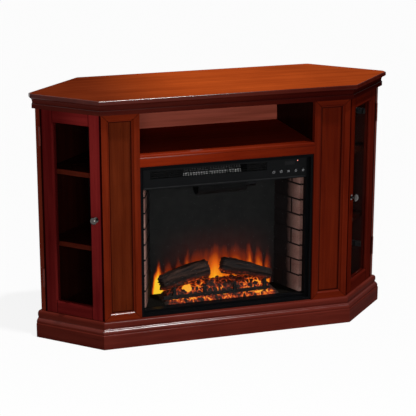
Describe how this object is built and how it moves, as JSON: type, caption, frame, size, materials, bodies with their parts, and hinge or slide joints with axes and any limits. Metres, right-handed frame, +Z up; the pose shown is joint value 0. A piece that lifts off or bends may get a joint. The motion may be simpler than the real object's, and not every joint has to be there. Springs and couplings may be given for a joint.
{
  "type": "fireplace tv stand",
  "caption": "Corner media console in dark cherry wood with canted glazed doors, an open media shelf and an electric log fire with a control fascia.",
  "frame": {"origin": "centre of the bounding box's footprint, on the floor", "axes": "+X along the long front to the viewer's right, +Y towards the back, +Z up; the front faces -Y"},
  "size_m": [1.2222, 0.4, 0.8191],
  "materials": {
    "cabinet_wood": "glossy dark cherry lacquer",
    "top_wood": "glossy cherry lacquer",
    "back_board": "thin hardboard, dark face",
    "hinge_steel": "satin nickel plate",
    "knob_metal": "satin pewter",
    "door_glass": "clear, flat",
    "fire_glass": "clear, flat",
    "catch_plastic": "brown moulded plastic",
    "black_metal": "satin black",
    "case_steel": "plain black sheet",
    "grate_metal": "black, rough",
    "gland_rubber": "black",
    "brick": "moulded brick, matt",
    "screen_acrylic": "smoked acrylic",
    "ember_resin": "translucent moulded coals",
    "log_resin": "moulded bark",
    "fascia_plastic": "satin black",
    "element_metal": "bright folded ribbon",
    "board_laminate": "circuit board",
    "motor_steel": "plain can",
    "vane_metal": "bright vanes",
    "button_plastic": "black with a silver symbol"
  },
  "bodies": {
    "cabinet": {"base_moulding": "cabinet_wood", "blower_housing": "case_steel", "blower_motor": "motor_steel", "bottom_deck": "cabinet_wood", "brick_panels": "brick", "control_board": "board_laminate", "control_fascia": "fascia_plastic", "cord_gland": "gland_rubber", "crown_moulding": "cabinet_wood", "ember_bed": "ember_resin", "fire_glass": "fire_glass", "fire_grate": "grate_metal", "firebox_case": "case_steel", "firebox_surround": "black_metal", "flame_screen": "screen_acrylic", "hearth_floor": "black_metal", "heating_element": "element_metal", "hinge_arms": "hinge_steel", "hinge_pins": "hinge_steel", "lamp_board": "board_laminate", "left_log": "log_resin", "left_partition": "cabinet_wood", "left_pilaster_frame": "cabinet_wood", "left_shelves": "cabinet_wood", "left_side_panel": "cabinet_wood", "magnetic_catches": "catch_plastic", "media_back_panel": "back_board", "media_shelf": "cabinet_wood", "outlet_grille": "fascia_plastic", "pilaster_panels": "cabinet_wood", "plinth_rails": "cabinet_wood", "right_log": "log_resin", "right_partition": "cabinet_wood", "right_pilaster_frame": "cabinet_wood", "right_shelves": "cabinet_wood", "right_side_panel": "cabinet_wood", "shelf_pins": "hinge_steel", "shelf_rail": "cabinet_wood", "side_back_panels": "back_board", "spinner_brackets": "case_steel", "spinner_motor": "motor_steel", "top_panel": "top_wood"},
    "left_door": {"left_door_frame": "cabinet_wood", "left_door_glass": "door_glass", "left_door_hinge_leaves": "hinge_steel", "left_door_knob": "knob_metal", "left_door_strike": "hinge_steel"},
    "right_door": {"right_door_frame": "cabinet_wood", "right_door_glass": "door_glass", "right_door_hinge_leaves": "hinge_steel", "right_door_knob": "knob_metal", "right_door_strike": "hinge_steel"},
    "blower": {"blower_wheel": "case_steel"},
    "flame_rotor": {"flame_spinner": "vane_metal"},
    "power_key": {"power_button": "button_plastic"},
    "timer_key": {"timer_button": "button_plastic"},
    "heat_key": {"heat_button": "button_plastic"},
    "flame_key": {"flame_button": "button_plastic"},
    "lamp_key": {"lamp_button": "button_plastic"}
  },
  "joints": [
    {"name": "left_door_hinge", "type": "hinge", "parent": "cabinet", "child": "left_door", "pos_m": [-0.58092, -0.01694, 0.437], "axis": [0, 0, -1], "range_deg": [0, 110]},
    {"name": "right_door_hinge", "type": "hinge", "parent": "cabinet", "child": "right_door", "pos_m": [0.58092, -0.01694, 0.437], "axis": [0, 0, 1], "range_deg": [0, 110]},
    {"name": "blower_spin", "type": "hinge", "parent": "cabinet", "child": "blower", "pos_m": [0, -0.08102, 0.49915], "axis": [1, 0, 0], "continuous": true},
    {"name": "flame_rotor_turn", "type": "hinge", "parent": "cabinet", "child": "flame_rotor", "pos_m": [0, 0.02898, 0.14], "axis": [1, 0, 0], "continuous": true},
    {"name": "power_press", "type": "slide", "parent": "cabinet", "child": "power_key", "axis": [0, 1, 0], "range_m": [0, 0.001], "stiffness_N_per_m": 400},
    {"name": "timer_press", "type": "slide", "parent": "cabinet", "child": "timer_key", "axis": [0, 1, 0], "range_m": [0, 0.001], "stiffness_N_per_m": 400},
    {"name": "heat_press", "type": "slide", "parent": "cabinet", "child": "heat_key", "axis": [0, 1, 0], "range_m": [0, 0.001], "stiffness_N_per_m": 400},
    {"name": "flame_press", "type": "slide", "parent": "cabinet", "child": "flame_key", "axis": [0, 1, 0], "range_m": [0, 0.001], "stiffness_N_per_m": 400},
    {"name": "lamp_press", "type": "slide", "parent": "cabinet", "child": "lamp_key", "axis": [0, 1, 0], "range_m": [0, 0.001], "stiffness_N_per_m": 400}
  ]
}
